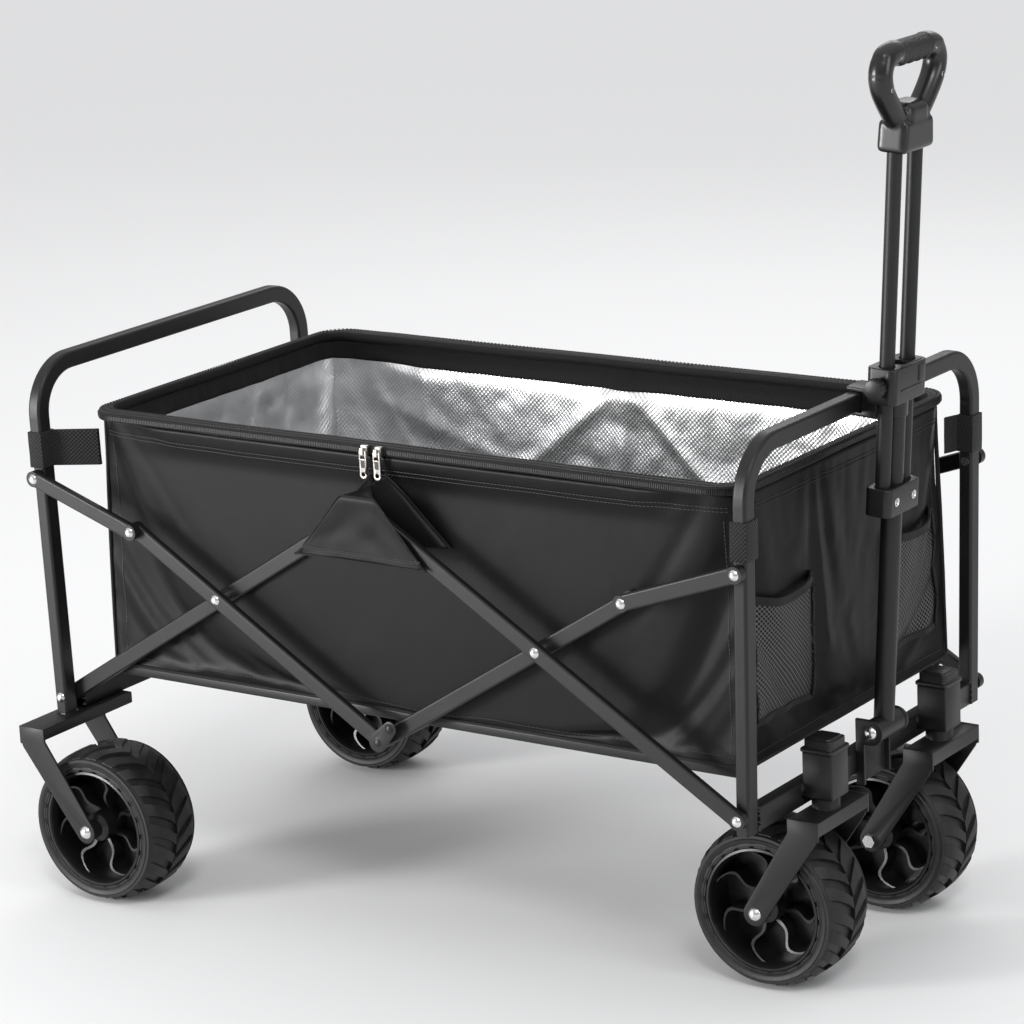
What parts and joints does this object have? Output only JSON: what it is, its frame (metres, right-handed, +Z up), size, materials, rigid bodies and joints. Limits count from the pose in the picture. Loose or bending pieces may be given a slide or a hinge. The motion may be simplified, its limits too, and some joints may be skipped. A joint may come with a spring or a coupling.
{
  "type": "folding camp wagon",
  "caption": "Folding wagon: a foil-lined fabric box between two tube arches, drawn together by side scissors, on casters and fixed wheels, with a telescoping pull handle.",
  "frame": {"origin": "on the ground, under the middle of the whole wagon's box", "axes": "+X to the front, where the pull handle is; +Y to the wagon's left; +Z up"},
  "size_m": [1.0074, 0.621, 0.9846],
  "materials": {
    "black_steel": "satin black powder coat",
    "bright_steel": "zinc-plated, domed",
    "zip_nickel": "brushed nickel",
    "bag_cloth": "coated polyester, soft sheen",
    "webbing": "woven webbing",
    "pocket_mesh": "open mesh",
    "foil_skin": "embossed aluminised film",
    "black_plastic": "moulded, fine grain",
    "tyre_rubber": "matte rubber"
  },
  "bodies": {
    "rear_frame": {"rear_arch": "black_steel", "rear_crossbar": "black_steel", "rear_fork_left": "black_steel", "rear_fork_right": "black_steel", "rear_axle_bolts": "bright_steel", "rear_post_rivets": "bright_steel", "bag_rear_wall": "bag_cloth", "bag_side_walls": "bag_cloth", "bag_floor": "bag_cloth", "floor_mat": "bag_cloth", "foil_liner": "foil_skin", "zip_rim": "webbing", "apex_flaps": "bag_cloth", "hem_rails": "black_steel", "rear_post_straps": "webbing"},
    "rear_riser_pair": {"rear_risers": "black_steel", "rear_riser_rivets": "bright_steel"},
    "rear_strut_pair": {"rear_struts": "black_steel", "rear_strut_caps": "black_plastic"},
    "front_strut_pair": {"front_struts": "black_steel", "front_strut_caps": "black_plastic"},
    "front_riser_pair": {"front_risers": "black_steel", "front_riser_rivets": "bright_steel"},
    "rear_stay_pair": {"rear_stays": "black_steel", "rear_stay_rivets": "bright_steel"},
    "front_stay_pair": {"front_stays": "black_steel", "front_stay_rivets": "bright_steel"},
    "hub_carrier": {"hub_cross_tube": "black_steel", "hub_brackets": "black_steel", "zip_sliders": "zip_nickel"},
    "pull_rear": {"zip_pull_rear": "zip_nickel"},
    "pull_front": {"zip_pull_front": "zip_nickel"},
    "front_frame": {"front_arch": "black_steel", "front_crossbar": "black_steel", "caster_housings": "black_steel", "caster_caps": "black_plastic", "handle_bracket": "black_steel", "handle_pivot_bolt": "bright_steel", "bag_front_wall": "bag_cloth", "mesh_pockets": "pocket_mesh", "front_post_straps": "webbing", "front_post_rivets": "bright_steel"},
    "caster_left": {"caster_fork_left": "black_steel", "caster_bolts_left": "bright_steel"},
    "caster_right": {"caster_fork_right": "black_steel", "caster_bolts_right": "bright_steel"},
    "wheel_rear_left_body": {"tyre_rear_left": "tyre_rubber", "wheel_rear_left": "black_plastic"},
    "wheel_rear_right_body": {"tyre_rear_right": "tyre_rubber", "wheel_rear_right": "black_plastic"},
    "wheel_front_left_body": {"tyre_front_left": "tyre_rubber", "wheel_front_left": "black_plastic"},
    "wheel_front_right_body": {"tyre_front_right": "tyre_rubber", "wheel_front_right": "black_plastic"},
    "handle": {"pull_tube": "black_steel", "handle_clamp": "black_plastic"},
    "grip_slide": {"sliding_collar": "black_plastic", "grip_rods": "black_steel", "d_grip": "black_plastic"},
    "release_button": {"release_knob": "black_plastic"}
  },
  "joints": [
    {"name": "fold", "type": "hinge", "parent": "rear_frame", "child": "rear_riser_pair", "pos_m": [-0.48591, 0, 0.222], "axis": [0, -1, 0], "range_deg": [0, 46.4], "deforming": ["bag_side_walls", "bag_floor", "floor_mat", "foil_liner", "zip_rim", "apex_flaps", "hem_rails", "rear_post_straps", "front_post_straps"]},
    {"name": "rear_crossing", "type": "hinge", "parent": "rear_riser_pair", "child": "rear_strut_pair", "pos_m": [-0.24891, 0, 0.3678], "axis": [0, -1, 0], "range_deg": [-92.81, 0.01]},
    {"name": "hub", "type": "hinge", "parent": "rear_strut_pair", "child": "front_strut_pair", "pos_m": [-0.03591, 0, 0.23677], "axis": [0, -1, 0], "range_deg": [-0.01, 92.81]},
    {"name": "front_crossing", "type": "hinge", "parent": "front_strut_pair", "child": "front_riser_pair", "pos_m": [0.17709, 0, 0.3678], "axis": [0, -1, 0], "range_deg": [-92.81, 0.01]},
    {"name": "front_low_pivot", "type": "hinge", "parent": "front_riser_pair", "child": "front_frame", "pos_m": [0.41409, 0, 0.222], "axis": [0, -1, 0], "range_deg": [-0.01, 46.41]},
    {"name": "rear_stay_pivot", "type": "hinge", "parent": "rear_frame", "child": "rear_stay_pair", "pos_m": [-0.49177, 0, 0.48058], "axis": [0, -1, 0], "range_deg": [-0.01, 93.79]},
    {"name": "front_stay_pivot", "type": "hinge", "parent": "front_frame", "child": "front_stay_pair", "pos_m": [0.41996, 0, 0.48058], "axis": [0, -1, 0], "range_deg": [-93.79, 0.01]},
    {"name": "hub_carrier_pivot", "type": "hinge", "parent": "rear_strut_pair", "child": "hub_carrier", "pos_m": [-0.03591, 0, 0.23677], "axis": [0, -1, 0], "range_deg": [-0.01, 46.41]},
    {"name": "zip_pull_rear_swing", "type": "hinge", "parent": "hub_carrier", "child": "pull_rear", "pos_m": [-0.04491, -0.2388, 0.554], "axis": [-1, 0, 0], "range_deg": [0, 100]},
    {"name": "zip_pull_front_swing", "type": "hinge", "parent": "hub_carrier", "child": "pull_front", "pos_m": [-0.02691, -0.2388, 0.554], "axis": [-1, 0, 0], "range_deg": [0, 100]},
    {"name": "caster_swivel_left", "type": "hinge", "parent": "front_frame", "child": "caster_left", "pos_m": [0.43959, 0.124, 0.203], "axis": [0, 0, 1], "continuous": true},
    {"name": "caster_swivel_right", "type": "hinge", "parent": "front_frame", "child": "caster_right", "pos_m": [0.43959, -0.124, 0.203], "axis": [0, 0, 1], "continuous": true},
    {"name": "wheel_spin_rear_left", "type": "hinge", "parent": "rear_frame", "child": "wheel_rear_left_body", "pos_m": [-0.41491, 0.252, 0.0888], "axis": [0, 1, 0], "continuous": true},
    {"name": "wheel_spin_rear_right", "type": "hinge", "parent": "rear_frame", "child": "wheel_rear_right_body", "pos_m": [-0.41491, -0.252, 0.0888], "axis": [0, 1, 0], "continuous": true},
    {"name": "wheel_spin_front_left", "type": "hinge", "parent": "caster_left", "child": "wheel_front_left_body", "pos_m": [0.38159, 0.124, 0.0888], "axis": [0, 1, 0], "continuous": true},
    {"name": "wheel_spin_front_right", "type": "hinge", "parent": "caster_right", "child": "wheel_front_right_body", "pos_m": [0.38159, -0.124, 0.0888], "axis": [0, 1, 0], "continuous": true},
    {"name": "handle_tilt", "type": "hinge", "parent": "front_frame", "child": "handle", "pos_m": [0.44009, 0, 0.25], "axis": [0, 1, 0], "range_deg": [0, 88]},
    {"name": "handle_slide", "type": "slide", "parent": "handle", "child": "grip_slide", "axis": [0.0628, 0, 0.998], "range_m": [-0.2, 0.06]},
    {"name": "knob_press", "type": "slide", "parent": "handle", "child": "release_button", "axis": [0, 1, 0], "range_m": [0, 0.003], "stiffness_N_per_m": 400, "springref_m": -0.002}
  ],
  "couplings": [
    {"joint": "rear_crossing", "follows": "fold", "ratio": -2},
    {"joint": "hub", "follows": "fold", "ratio": 2},
    {"joint": "front_crossing", "follows": "fold", "ratio": -2},
    {"joint": "front_low_pivot", "follows": "fold", "ratio": 1},
    {"joint": "rear_stay_pivot", "follows": "fold", "ratio": 2.021},
    {"joint": "front_stay_pivot", "follows": "fold", "ratio": -2.021},
    {"joint": "hub_carrier_pivot", "follows": "fold", "ratio": 1}
  ]
}
